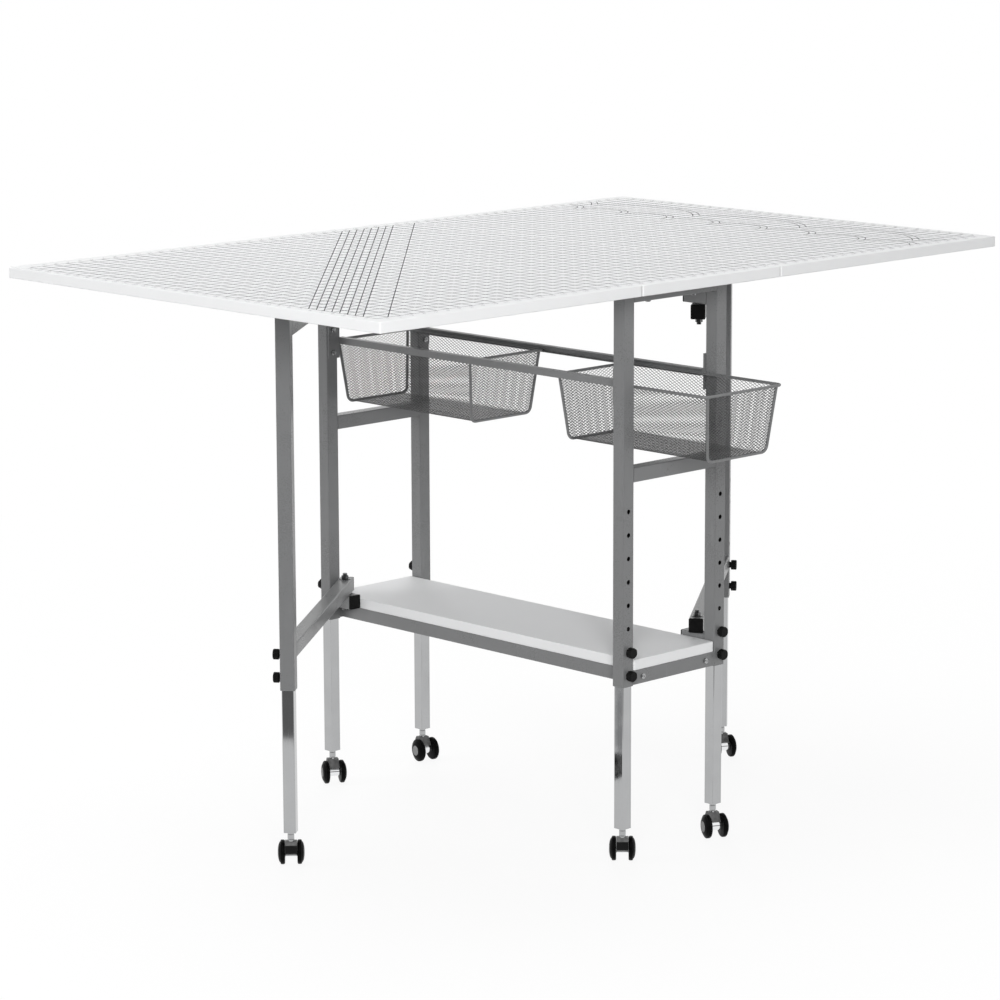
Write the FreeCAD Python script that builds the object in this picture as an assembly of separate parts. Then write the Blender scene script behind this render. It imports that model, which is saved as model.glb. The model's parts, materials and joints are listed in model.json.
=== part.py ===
import FreeCAD, Part
import math
import os

# A folding cutting table on casters: a centre panel with two drop leaves, a narrow base of two
# end frames, two swinging gates that hold the leaves up, telescopic legs and two sliding baskets.
# X runs across the leaves, Y along the base, Z is up. Left is minus X and near is minus Y.
# Pieces are laid out about the middle of the table. The last step moves them all so that the
# origin lies on the floor under the middle of the whole part.

V = FreeCAD.Vector

# Shared values
overrun = 2.0
fit_clearance = 0.1
flat_clearance = 0.3

# Top
top_height = 1000.0
top_depth = 927.0
board_thickness = 18.0
centre_panel_width = 335.0
leaf_width = 576.5
seam_gap = 2.0
board_corner_radius = 3.0
board_edge_ease = 0.8

# Square steel tube of the base and the gates
tube_size = 25.0
tube_wall = 1.5
tube_corner_radius = 2.0

# End frames
leg_spacing_x = 226.0
leg_spacing_y = 736.0
leg_foot_height = 307.0
end_bar_height = 308.0

# Height holes and hand knobs
hole_count = 8
hole_pitch = 40.0
lowest_hole_height = 327.0
hole_diameter = 8.0
knobs_per_leg = 2
knob_diameter = 18.0
knob_head_length = 10.0
knob_neck_diameter = 11.0
knob_neck_length = 3.0
knob_stud_diameter = 6.0
knob_lobes = 6
knob_dip_diameter = 5.0
knob_edge_ease = 0.8

# Inner legs
inner_size = 21.0
inner_wall = 1.2
inner_corner_radius = 1.6
inner_foot_height = 59.5
inner_overlap = 105.0
inner_end_thickness = 5.0

# Casters
wheel_diameter = 42.0
wheel_gap = 22.0
tread_width = 7.2
tread_chamfer = 1.5
hub_bulge = 4.6
hub_shoulder = 1.5
hub_shoulder_diameter = 27.0
hub_flat_diameter = 16.0
hub_wall = 3.0
axle_diameter = 6.0
caster_trail = 11.0
hood_width = 20.6
hood_barrel_diameter = 16.0
hood_brow = 10.0
hood_brow_height = 38.0
hood_chin_height = 23.0
stem_diameter = 8.0
stem_grip = 16.0
collar_diameter = 12.0
collar_height = 15.2

# Shelf and its rails
shelf_thickness = 18.0
shelf_side_clearance = 2.0
side_rail_depth = 23.0
side_rail_flange = 22.0
side_rail_wall = 2.0
side_rail_tab_width = 34.0
side_rail_tab_thickness = 3.0
end_bolt_inset = 35.0
end_bolt_height = 12.5
shelf_screw_inset_y = 150.0

# Basket rails
basket_rail_drop = 171.0
basket_rail_depth = 12.0
basket_rail_flange = 11.0
basket_rail_wall = 1.2
rail_plate_height = 62.0
rail_plate_thickness = 2.5
rail_screw_spacing = 41.0
rail_plate_inset = 2.0

# Screws
screw_diameter = 5.0
screw_head_diameter = 9.5
screw_head_height = 3.0
screw_bite = 12.0
panel_screw_inset_x = 45.0

# Pivot stubs, bolts and gates
stub_length = 51.5
lower_stub_height = 334.0
upper_stub_drop = 26.0
cap_thickness = 3.0
cap_plug_length = 8.0
pivot_bolt_diameter = 8.0
pivot_head_diameter = 14.0
pivot_head_height = 5.0
pivot_washer_diameter = 20.0
pivot_washer_thickness = 1.0
pivot_nut_diameter = 13.0
pivot_nut_height = 6.0
pivot_nut_sides = 6
pivot_tip_length = 4.0
pivot_play = 0.1
gate_reach = 519.0
gate_tail = 22.0
gate_open_angle = 52.6

# Leaf hinges
hinges_per_leaf = 3
hinge_spacing = 330.0
hinge_length = 60.0
hinge_plate_width = 34.0
hinge_plate_thickness = 1.6
hinge_knuckle_diameter = 7.2
hinge_pin_diameter = 4.0
hinge_axial_gap = 0.4

# Baskets
basket_length = 354.0
basket_depth = 112.0
basket_sheet = 1.2
basket_wire_diameter = 5.0
basket_rim_radius = 10.0
basket_rim_overhang_x = 9.0
basket_rim_overhang_y = 4.0
basket_taper_x = 13.0
basket_taper_y = 11.0
basket_bend_radius = 12.0
basket_floor_clearance = 20.5
basket_corner_cut = 5.6
basket_seat_clearance = 0.3
basket_side_clearance = 1.0
basket_end_inset = 4.5
near_basket_pull = 161.0
side_columns = 8
end_columns = 4
wall_rows = 4
floor_rows = 5
diamond_open_share = 0.74

# Worked out from the values above
underside = top_height - board_thickness
seam_x = centre_panel_width / 2 + seam_gap / 2
leaf_edge_x = centre_panel_width / 2 + seam_gap
leg_x = leg_spacing_x / 2
leg_y = leg_spacing_y / 2
half_tube = tube_size / 2
leg_inner_x = leg_x - half_tube
leg_inner_y = leg_y - half_tube
leg_outer_y = leg_y + half_tube
bar_length = leg_spacing_x - tube_size
shelf_height = end_bar_height + tube_size
rail_outer_x = leg_inner_x - shelf_side_clearance
stub_reach = stub_length + cap_thickness
pivot_y = leg_inner_y - stub_reach / 2
upper_stub_height = underside - tube_size - upper_stub_drop
lower_arm_height = lower_stub_height + tube_size + pivot_washer_thickness + pivot_play
upper_arm_height = upper_stub_height - pivot_washer_thickness - pivot_play - tube_size
gate_leg_top = underside - flat_clearance - cap_thickness
inner_top = leg_foot_height + inner_overlap
axle_height = wheel_diameter / 2
basket_rail_height = underside - basket_rail_drop
basket_rim_half_x = rail_outer_x - basket_rail_wall - basket_side_clearance
basket_rim_height = basket_rail_height + basket_rail_wall + basket_seat_clearance
basket_rim_axis = basket_rim_height + basket_wire_diameter / 2
basket_floor_axis = basket_rim_axis - basket_depth
mid_bar_top = basket_floor_axis - basket_wire_diameter / 2 - basket_floor_clearance
near_basket_y = -(leg_outer_y - basket_end_inset - basket_length / 2 + near_basket_pull)
far_basket_y = leg_outer_y - basket_end_inset - basket_length / 2
near_reach = -near_basket_y + basket_length / 2
frame_shift_y = (near_reach - top_depth / 2) / 2

RIGHT_TURN = 90
FULL_TURN = 360
AXES = {
    "x": FreeCAD.Rotation(V(0, 1, 0), RIGHT_TURN),
    "y": FreeCAD.Rotation(V(1, 0, 0), -RIGHT_TURN),
    "z": FreeCAD.Rotation(),
}
# The knobs of a gate turn outwards when the gate is folded in under the top
GATE_KNOB_SIDE = V(0, -1, 0)
SIDES = (("left", -1), ("right", 1))
ENDS = (("near", -1), ("far", 1))

os.makedirs("parts", exist_ok=True)


def save(name, *solids):
    """Writes the solids of one node, moved into the part's frame."""
    shape = solids[0] if len(solids) == 1 else Part.makeCompound(list(solids))
    moved = shape.copy()
    moved.translate(V(0, frame_shift_y, 0))
    moved.exportStep("parts/" + name + ".step")


def block(x0, x1, y0, y1, z0, z1):
    return Part.makeBox(x1 - x0, y1 - y0, z1 - z0, V(x0, y0, z0))


def rod(diameter, start, end):
    """A round bar between two points."""
    run = end - start
    return Part.makeCylinder(diameter / 2, run.Length, start, run)


def ring(outer, inner, thickness, base):
    """A flat washer on a vertical axis."""
    up = V(0, 0, thickness)
    return rod(outer, base, base + up).cut(rod(inner, base - up, base + up + up))


def prism(points, along):
    """Extrudes a closed outline of straight edges."""
    return Part.Face(Part.makePolygon(points + points[:1])).extrude(along)


def edges_along(shape, axis):
    """The straight edges of a shape that run along one axis."""
    straight = [e for e in shape.Edges if isinstance(e.Curve, Part.Line)]
    return [e for e in straight if e.Curve.Direction.cross(axis).Length < Part.Precision.confusion()]


def square_bar(size, radius, length):
    """A square bar with round corners, up from the origin."""
    bar = Part.makeBox(size, size, length, V(-size / 2, -size / 2, 0))
    return bar.makeFillet(radius, edges_along(bar, V(0, 0, 1)))


def square_tube(size, wall, radius, length):
    inside = square_bar(size - 2 * wall, radius - wall, length)
    return square_bar(size, radius, length).cut(inside)


def frame_tube(length):
    return square_tube(tube_size, tube_wall, tube_corner_radius, length)


def laid(shape, start, axis="z"):
    """Lays a shape built up from the origin along an axis, from a start point."""
    shape.Placement = FreeCAD.Placement(start, AXES[axis])
    return shape


def board(x0, x1, y0, y1, z0, z1):
    """A laminated board with rounded corners and eased edges."""
    panel = block(x0, x1, y0, y1, z0, z1)
    panel = panel.makeFillet(board_corner_radius, edges_along(panel, V(0, 0, 1)))
    rims = [e for e in panel.Edges if e.BoundBox.ZLength < board_edge_ease]
    return panel.makeChamfer(board_edge_ease, rims)


def hole_heights(count):
    return [lowest_hole_height + hole_pitch * i for i in range(count)]


def cross_holes(face, outward, count):
    """Drills for the height holes in one wall: face is a point of the wall's outer face."""
    out = outward * overrun
    through = outward * tube_wall
    spots = [V(face.x, face.y, z) for z in hole_heights(count)]
    return [rod(hole_diameter, p + out, p - through) for p in spots]


def drilled(shape, tools):
    return shape.cut(Part.makeCompound(tools)) if tools else shape


def plastic_cap():
    """An end cap with its plug, for a tube that comes up to the origin from below."""
    plug_size = tube_size - 2 * tube_wall - 2 * fit_clearance
    plug = square_bar(plug_size, tube_corner_radius - tube_wall, cap_plug_length)
    plug.translate(V(0, 0, -cap_plug_length))
    plate = square_bar(tube_size, tube_corner_radius, cap_thickness)
    rim = [e for e in plate.Edges if e.BoundBox.ZMin > cap_thickness - board_edge_ease]
    return plate.makeChamfer(board_edge_ease, rim).fuse(plug).removeSplitter()


def knob():
    """A lobed hand knob on its stud. It points up from the wall's outer face at the origin."""
    head = rod(knob_diameter, V(0, 0, knob_neck_length), V(0, 0, knob_neck_length + knob_head_length))
    head = head.makeChamfer(knob_edge_ease, [e for e in head.Edges if e.Closed])
    dips = []
    for i in range(knob_lobes):
        turn = math.radians(FULL_TURN * i / knob_lobes)
        spot = V(math.cos(turn), math.sin(turn), 0) * ((knob_diameter + knob_dip_diameter / 2) / 2)
        past_head = V(0, 0, knob_neck_length + knob_head_length + overrun)
        dips.append(rod(knob_dip_diameter, spot, spot + past_head))
    neck = rod(knob_neck_diameter, V(0, 0, 0), V(0, 0, knob_neck_length))
    stud = rod(knob_stud_diameter, V(0, 0, -tube_wall), V(0, 0, 0))
    return drilled(head, dips).fuse([neck, stud]).removeSplitter()


def knobs_on(face, outward):
    """The knobs in the lowest holes of a wall."""
    turn = FreeCAD.Rotation(V(0, 0, 1), outward)
    made = []
    for z in hole_heights(knobs_per_leg):
        one = knob()
        one.Placement = FreeCAD.Placement(V(face.x, face.y, z), turn)
        made.append(one)
    return made


def inner_leg(outward):
    """A chromed inner leg on the Z axis, with a closed foot bored for the caster's stem."""
    length = inner_top - inner_foot_height
    tube = square_tube(inner_size, inner_wall, inner_corner_radius, length)
    foot = square_bar(inner_size - 2 * inner_wall, inner_corner_radius - inner_wall, inner_end_thickness)
    leg = tube.fuse(foot).removeSplitter()
    bore = rod(stem_diameter + 2 * fit_clearance, V(0, 0, -overrun), V(0, 0, inner_end_thickness + overrun))
    leg = leg.cut(bore)
    leg.translate(V(0, 0, inner_foot_height))
    face = outward * (inner_size / 2)
    drills = [
        rod(knob_stud_diameter, V(face.x, face.y, z) + outward * overrun, V(0, 0, z))
        for z in hole_heights(knobs_per_leg)
    ]
    return drilled(leg, drills)


def caster_hood():
    """Hood, axle and stem of a caster whose swivel axis is Z and whose wheels trail along X."""
    centre = V(caster_trail, 0, axle_height)
    across = V(0, hood_width / 2, 0)
    barrel_radius = hood_barrel_diameter / 2
    barrel = rod(hood_barrel_diameter, centre - across, centre + across)
    crown_height = inner_foot_height - flat_clearance - collar_height
    half_collar = collar_diameter / 2
    # The hood stands between the wheels: a crown under the collar, a brow, a chin and the barrel
    side_view = [
        V(half_collar, 0, crown_height),
        V(caster_trail + barrel_radius, 0, axle_height),
        V(caster_trail, 0, axle_height - barrel_radius),
        V(-hood_brow, 0, hood_chin_height),
        V(-hood_brow, 0, hood_brow_height),
        V(-half_collar, 0, crown_height),
    ]
    body = prism([p - across for p in side_view], across * 2)
    collar = rod(collar_diameter, V(0, 0, crown_height), V(0, 0, crown_height + collar_height))
    stem = rod(stem_diameter, V(0, 0, crown_height), V(0, 0, inner_foot_height + stem_grip))
    axle_half = V(0, wheel_gap / 2 + tread_width + hub_bulge - hub_wall - flat_clearance, 0)
    axle = rod(axle_diameter, centre - axle_half, centre + axle_half)
    return body.fuse([barrel, collar, stem, axle]).removeSplitter()


def wheel(side):
    """One wheel of a caster: a chamfered tread, a bulging outer face and a blind bore for the axle."""
    inner = wheel_gap / 2
    tread_edge = inner + tread_width
    outer = tread_edge + hub_bulge
    radius = wheel_diameter / 2
    bore = axle_diameter / 2 + fit_clearance
    bore_end = outer - hub_wall
    outline = [
        (inner, bore),
        (inner, radius - tread_chamfer),
        (inner + tread_chamfer, radius),
        (tread_edge - tread_chamfer, radius),
        (tread_edge, radius - tread_chamfer),
        (outer - hub_shoulder, hub_shoulder_diameter / 2),
        (outer, hub_flat_diameter / 2),
        (outer, 0),
        (bore_end, 0),
        (bore_end, bore),
    ]
    points = [V(0, side * along, out) for along, out in outline]
    profile = Part.Face(Part.makePolygon(points + points[:1]))
    solid = profile.revolve(V(0, 0, 0), V(0, 1, 0), FULL_TURN)
    solid.translate(V(caster_trail, 0, axle_height))
    return solid


def screw(tip, head, length):
    """A pan-head screw: its head seats at a point, and its shank runs towards the tip direction."""
    shank = rod(screw_diameter, head, head + tip * length)
    cap = rod(screw_head_diameter, head, head - tip * screw_head_height)
    return shank.fuse(cap).removeSplitter()


def pivot_set(head_seat, lift):
    """Bolt, washers and nut of one gate pivot. lift is 1 where the bolt points up, else -1."""
    up = V(0, 0, lift)
    stack = 2 * tube_size + pivot_washer_thickness + 2 * pivot_play
    seat_top = head_seat + up * stack
    grip = stack + pivot_washer_thickness + pivot_nut_height + pivot_tip_length
    bolt = rod(pivot_bolt_diameter, head_seat, head_seat + up * grip)
    head = rod(pivot_head_diameter, head_seat, head_seat - up * pivot_head_height)
    bore = pivot_bolt_diameter + 2 * fit_clearance
    hexagon = []
    for i in range(pivot_nut_sides):
        turn = math.radians(FULL_TURN * i / pivot_nut_sides)
        hexagon.append(V(math.cos(turn), math.sin(turn), 0) * (pivot_nut_diameter / 2))
    drop = V(0, 0, min(0, lift))
    spacer_base = head_seat + up * tube_size + drop * pivot_washer_thickness
    washer_base = seat_top + drop * pivot_washer_thickness
    nut_base = seat_top + up * pivot_washer_thickness + drop * pivot_nut_height
    nut = prism([nut_base + p for p in hexagon], V(0, 0, pivot_nut_height))
    nut = nut.cut(rod(bore, nut_base - V(0, 0, overrun), nut_base + V(0, 0, pivot_nut_height + overrun)))
    return [
        bolt.fuse(head).removeSplitter(),
        ring(pivot_washer_diameter, bore, pivot_washer_thickness, spacer_base),
        ring(pivot_washer_diameter, bore, pivot_washer_thickness, washer_base),
        nut,
    ]


def gate(angle, pivot):
    """Leg, arms, caps and knobs of one gate. It is built along +X from its pivot, then turned."""
    leg = laid(frame_tube(gate_leg_top - leg_foot_height), V(gate_reach, 0, leg_foot_height))
    face = V(gate_reach, 0, 0) + GATE_KNOB_SIDE * half_tube
    leg = drilled(leg, cross_holes(face, GATE_KNOB_SIDE, hole_count))
    arms = []
    caps = [laid(plastic_cap(), V(gate_reach, 0, gate_leg_top))]
    bolt_hole = pivot_bolt_diameter + 2 * fit_clearance
    arm_start = cap_thickness - gate_tail
    for height in (lower_arm_height, upper_arm_height):
        axis_height = height + half_tube
        arm = laid(frame_tube(gate_reach - half_tube - arm_start), V(arm_start, 0, axis_height), "x")
        drill = rod(bolt_hole, V(0, 0, height - overrun), V(0, 0, height + tube_size + overrun))
        arms.append(arm.cut(drill))
        cap = plastic_cap()
        cap_turn = FreeCAD.Rotation(V(0, 1, 0), -RIGHT_TURN)
        cap.Placement = FreeCAD.Placement(V(arm_start, 0, axis_height), cap_turn)
        caps.append(cap)
    knobs = knobs_on(face, GATE_KNOB_SIDE)
    swing = FreeCAD.Placement(pivot, FreeCAD.Rotation(V(0, 0, 1), angle))
    for shape in [leg] + arms + caps + knobs:
        shape.Placement = swing.multiply(shape.Placement)
    return leg, arms, caps, knobs


def hinge(side, y):
    """Fixed plate, moving plate and pin of one hinge under a seam."""
    axis = V(side * seam_x, y, underside - flat_clearance - hinge_knuckle_diameter / 2)
    third = hinge_length / 6
    half = hinge_length / 2
    spans = {
        "fixed": ((-half, -third - hinge_axial_gap / 2), (third + hinge_axial_gap / 2, half)),
        "moving": ((-third + hinge_axial_gap / 2, third - hinge_axial_gap / 2),),
    }
    relief = hinge_knuckle_diameter / 2 + flat_clearance
    plates = {}
    for kind, towards in (("fixed", -side), ("moving", side)):
        far_x = axis.x + towards * hinge_plate_width
        near_x = axis.x + towards * relief
        plate = block(
            min(near_x, far_x), max(near_x, far_x), y - half, y + half,
            underside - hinge_plate_thickness, underside,
        )
        for y0, y1 in spans[kind]:
            tongue = block(
                min(axis.x, near_x), max(axis.x, near_x), y + y0, y + y1,
                underside - hinge_plate_thickness, underside - flat_clearance,
            )
            knuckle = rod(hinge_knuckle_diameter, axis + V(0, y0, 0), axis + V(0, y1, 0))
            plate = plate.fuse([tongue, knuckle])
        reach = V(0, half + overrun, 0)
        bore = rod(hinge_pin_diameter + 2 * fit_clearance, axis - reach, axis + reach)
        plates[kind] = plate.cut(bore).removeSplitter()
    pin = rod(hinge_pin_diameter, axis - V(0, half, 0), axis + V(0, half, 0))
    return plates["fixed"], plates["moving"], pin


def diamond_panel(bottom, top, height, columns, rows, foot_wire):
    """A flat mesh panel that stands on the X axis, tapered from bottom to top, with diamond holes.

    It stops short of the wires beside it. Where a wire also runs under its foot, its lower
    corners are nipped off to clear the bends.
    """
    side = basket_wire_diameter / 2 + basket_seat_clearance
    foot = side if foot_wire else basket_sheet
    nip = basket_corner_cut if foot_wire else basket_sheet

    def at(across, up):
        """A point at shares of the panel's width and height."""
        half = (bottom + (top - bottom) * up) / 2
        return V(across * (half - side), foot + up * (height - foot - basket_sheet), 0)

    lift, inset = V(0, nip, 0), V(nip, 0, 0)
    corners = [at(-1, 0) + lift, at(-1, 0) + inset, at(1, 0) - inset, at(1, 0) + lift, at(1, 1), at(-1, 1)]
    outline = Part.makePolygon(corners + corners[:1])
    step = 1 / (rows + 1)
    tall = step * diamond_open_share
    wide = diamond_open_share / columns
    holes = []
    for row in range(rows):
        up = (row + 1) * step
        count = columns - row % 2
        for i in range(count):
            across = (2 * i + 1 - count) / columns
            corners = [at(across - wide, up), at(across, up - tall)]
            corners += [at(across + wide, up), at(across, up + tall)]
            holes.append(Part.makePolygon(corners + corners[:1]))
    sheet = Part.Face([outline] + holes)
    return sheet.extrude(V(0, 0, basket_sheet))


def bent_wire(points, radius, closed):
    """A round wire along straight runs, with its corners bent to a radius."""
    count = len(points)
    bends = range(count) if closed else range(1, count - 1)
    leave = {i: points[i] for i in range(count)}
    reach = dict(leave)
    arcs = []
    for i in bends:
        corner = points[i]
        back = (points[i - 1] - corner).normalize()
        on = (points[(i + 1) % count] - corner).normalize()
        half_angle = back.getAngle(on) / 2
        trim = radius / math.tan(half_angle)
        inward = (back + on).normalize()
        middle = corner + inward * (radius / math.sin(half_angle) - radius)
        reach[i] = corner + back * trim
        leave[i] = corner + on * trim
        arcs.append(Part.Arc(reach[i], middle, leave[i]).toShape())
    runs = count if closed else count - 1
    lines = [Part.makeLine(leave[i], reach[(i + 1) % count]) for i in range(runs)]
    path = Part.Wire(Part.__sortEdges__(lines + arcs))
    start = lines[0].Vertexes[0].Point
    section = Part.Wire(Part.makeCircle(basket_wire_diameter / 2, start, lines[0].tangentAt(0)))
    return path.makePipe(Part.Face(section))


def stood(panel, foot, across, up):
    """Stands a flat panel at its foot, with its width and its height along two directions."""
    out = across.cross(up)
    panel.Placement = FreeCAD.Placement(
        foot - out * (basket_sheet / 2), FreeCAD.Rotation(across, up, out, "XYZ")
    )
    return panel


def basket(y):
    """Mesh panels, and the welded rim and end wires, of one basket about a middle in Y."""
    half_wire = basket_wire_diameter / 2
    rim_x = basket_rim_half_x - half_wire
    rim_y = basket_length / 2 - half_wire
    top_x, top_y = rim_x - basket_rim_overhang_x, rim_y - basket_rim_overhang_y
    floor_x, floor_y = top_x - basket_taper_x, top_y - basket_taper_y
    panels = []
    floor = diamond_panel(2 * floor_y, 2 * floor_y, 2 * floor_x, side_columns, floor_rows, False)
    panels.append(stood(floor, V(floor_x, y, basket_floor_axis), V(0, 1, 0), V(-1, 0, 0)))
    for side in (-1, 1):
        slope = V(side * basket_taper_x, 0, basket_depth)
        wall = diamond_panel(2 * floor_y, 2 * top_y, slope.Length, side_columns, wall_rows, False)
        foot = V(side * floor_x, y, basket_floor_axis)
        panels.append(stood(wall, foot, V(0, side, 0), slope.normalize()))
        slope = V(0, side * basket_taper_y, basket_depth)
        wall = diamond_panel(2 * floor_x, 2 * top_x, slope.Length, end_columns, wall_rows, True)
        foot = V(0, y + side * floor_y, basket_floor_axis)
        panels.append(stood(wall, foot, V(-side, 0, 0), slope.normalize()))
    turns = ((-1, -1), (1, -1), (1, 1), (-1, 1))
    rim = [V(sx * rim_x, y + sy * rim_y, basket_rim_axis) for sx, sy in turns]
    frame = [bent_wire(rim, basket_rim_radius, True)]
    for side in (-1, 1):
        end = [
            V(-top_x, y + side * top_y, basket_rim_axis),
            V(-floor_x, y + side * floor_y, basket_floor_axis),
            V(floor_x, y + side * floor_y, basket_floor_axis),
            V(top_x, y + side * top_y, basket_rim_axis),
        ]
        frame.append(bent_wire(end, basket_bend_radius, False))
    # A flat flange of the mesh sheet joins the walls to the rim
    low = basket_rim_axis - basket_sheet / 2
    flange = block(-rim_x, rim_x, y - rim_y, y + rim_y, low, low + basket_sheet)
    mouth_x, mouth_y = top_x - basket_sheet, top_y - basket_sheet
    mouth = block(-mouth_x, mouth_x, y - mouth_y, y + mouth_y, low - overrun, low + basket_sheet + overrun)
    corners = edges_along(flange, V(0, 0, 1))
    frame.append(flange.makeFillet(basket_rim_radius, corners).cut(mouth))
    return panels, frame[0].fuse(frame[1:]).removeSplitter()


# Top
half_depth = top_depth / 2
centre_panel = board(
    -centre_panel_width / 2, centre_panel_width / 2, -half_depth, half_depth, underside, top_height
)
fixed_plates = []
pins = []
for name, side in SIDES:
    edges_x = sorted((side * leaf_edge_x, side * (leaf_edge_x + leaf_width)))
    save(name + "_leaf", board(edges_x[0], edges_x[1], -half_depth, half_depth, underside, top_height))
    moving_plates = []
    for i in range(hinges_per_leaf):
        fixed, moving, pin = hinge(side, (i - (hinges_per_leaf - 1) / 2) * hinge_spacing)
        fixed_plates.append(fixed)
        moving_plates.append(moving)
        pins.append(pin)
    save(name + "_hinge_plates", *moving_plates)
save("centre_hinge_plates", *fixed_plates)
save("hinge_pins", *pins)

# End frames: legs, bars, and the knobs in the legs
screws = []
base_knobs = []
for end, end_sign in ENDS:
    outward = V(0, end_sign, 0)
    for side_name, side in SIDES:
        spot = V(side * leg_x, end_sign * leg_y, 0)
        face = spot + outward * half_tube
        leg = laid(frame_tube(underside - leg_foot_height), spot + V(0, 0, leg_foot_height))
        drills = cross_holes(face, outward, hole_count)
        plate_middle = basket_rail_height + basket_rail_depth / 2
        for shift in (-rail_screw_spacing / 2, rail_screw_spacing / 2):
            start = V(spot.x, end_sign * (leg_inner_y - overrun), plate_middle + shift)
            drills.append(rod(screw_diameter, start, start + outward * (overrun + tube_wall)))
        save(end + "_" + side_name + "_leg", drilled(leg, drills))
        inner = inner_leg(outward)
        inner.translate(spot)
        save(end + "_" + side_name + "_inner_leg", inner)
        base_knobs += knobs_on(face, outward)
    bar_start = V(-bar_length / 2, end_sign * leg_y, 0)
    top_bar = laid(frame_tube(bar_length), bar_start + V(0, 0, underside - half_tube), "x")
    mid_bar = laid(frame_tube(bar_length), bar_start + V(0, 0, mid_bar_top - half_tube), "x")
    end_bar = laid(frame_tube(bar_length), bar_start + V(0, 0, end_bar_height + half_tube), "x")
    panel_drills = []
    end_drills = []
    for side_name, side in SIDES:
        x = side * (leg_inner_x - panel_screw_inset_x)
        head = V(x, end_sign * leg_y, underside - tube_size)
        screws.append(screw(V(0, 0, 1), head, tube_size + screw_bite))
        panel_drills.append(rod(screw_diameter, head, head + V(0, 0, tube_size + screw_bite)))
        x = side * (leg_x - end_bolt_inset)
        head = V(x, end_sign * leg_outer_y, end_bar_height + end_bolt_height)
        length = tube_size + side_rail_tab_thickness
        screws.append(screw(V(0, -end_sign, 0), head, length))
        end_drills.append(rod(screw_diameter, head, head - outward * (length + overrun)))
    save(end + "_top_bar", drilled(top_bar, panel_drills))
    save(end + "_mid_bar", mid_bar)
    save(end + "_end_bar", drilled(end_bar, end_drills))
    centre_panel = drilled(centre_panel, panel_drills)
save("centre_panel", centre_panel)
save("base_knobs", *base_knobs)

# Shelf on its side rails
shelf_half_x = leg_inner_x - shelf_side_clearance
shelf = board(
    -shelf_half_x, shelf_half_x, -leg_outer_y, leg_outer_y, shelf_height, shelf_height + shelf_thickness
)
for side_name, side in SIDES:
    edge = side * rail_outer_x
    depth_z = shelf_height - side_rail_depth
    flange_z = shelf_height - side_rail_wall
    web_x = edge - side * side_rail_wall
    flange_x = edge - side * side_rail_flange
    angle = [
        V(edge, -leg_inner_y, depth_z),
        V(edge, -leg_inner_y, shelf_height),
        V(flange_x, -leg_inner_y, shelf_height),
        V(flange_x, -leg_inner_y, flange_z),
        V(web_x, -leg_inner_y, flange_z),
        V(web_x, -leg_inner_y, depth_z),
    ]
    rail = prism(angle, V(0, 2 * leg_inner_y, 0))
    drills = []
    tab_x = sorted((edge, edge - side * side_rail_tab_width))
    for end, end_sign in ENDS:
        tab_y = sorted((end_sign * leg_inner_y, end_sign * (leg_inner_y - side_rail_tab_thickness)))
        rail = rail.fuse(block(tab_x[0], tab_x[1], tab_y[0], tab_y[1], depth_z, shelf_height))
        bolt = V(side * (leg_x - end_bolt_inset), 0, end_bar_height + end_bolt_height)
        drills.append(rod(screw_diameter, bolt, bolt + V(0, end_sign * leg_inner_y, 0)))
        head = V(edge - side * side_rail_flange / 2, end_sign * shelf_screw_inset_y, flange_z)
        screws.append(screw(V(0, 0, 1), head, screw_bite))
        drills.append(rod(screw_diameter, head, head + V(0, 0, screw_bite)))
    save(side_name + "_side_rail", drilled(rail, drills).removeSplitter())
    shelf = drilled(shelf, drills)
save("shelf_board", shelf)

# Basket rails: channels that open inwards, on plates screwed to the legs
plate_low = basket_rail_height + (basket_rail_depth - rail_plate_height) / 2
for side_name, side in SIDES:
    outer_x = side * rail_outer_x
    web_x = outer_x - side * basket_rail_wall
    lip_x = outer_x - side * basket_rail_flange
    rail_top = basket_rail_height + basket_rail_depth
    channel = [
        V(outer_x, -leg_inner_y, basket_rail_height),
        V(outer_x, -leg_inner_y, rail_top),
        V(lip_x, -leg_inner_y, rail_top),
        V(lip_x, -leg_inner_y, rail_top - basket_rail_wall),
        V(web_x, -leg_inner_y, rail_top - basket_rail_wall),
        V(web_x, -leg_inner_y, basket_rail_height + basket_rail_wall),
        V(lip_x, -leg_inner_y, basket_rail_height + basket_rail_wall),
        V(lip_x, -leg_inner_y, basket_rail_height),
    ]
    rail = prism(channel, V(0, 2 * leg_inner_y, 0))
    drills = []
    for end, end_sign in ENDS:
        plate_x = sorted((web_x, side * (leg_x + half_tube - rail_plate_inset)))
        plate_y = sorted((end_sign * leg_inner_y, end_sign * (leg_inner_y - rail_plate_thickness)))
        plate = block(
            plate_x[0], plate_x[1], plate_y[0], plate_y[1], plate_low, plate_low + rail_plate_height
        )
        rail = rail.fuse(plate)
        for shift in (-rail_screw_spacing / 2, rail_screw_spacing / 2):
            head = V(side * leg_x, end_sign * (leg_inner_y - rail_plate_thickness), plate_middle + shift)
            length = rail_plate_thickness + tube_wall
            screws.append(screw(V(0, end_sign, 0), head, length))
            drills.append(rod(screw_diameter, head, head + V(0, end_sign * length, 0)))
    save(side_name + "_basket_rail", drilled(rail, drills).removeSplitter())
save("frame_screws", *screws)

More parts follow.
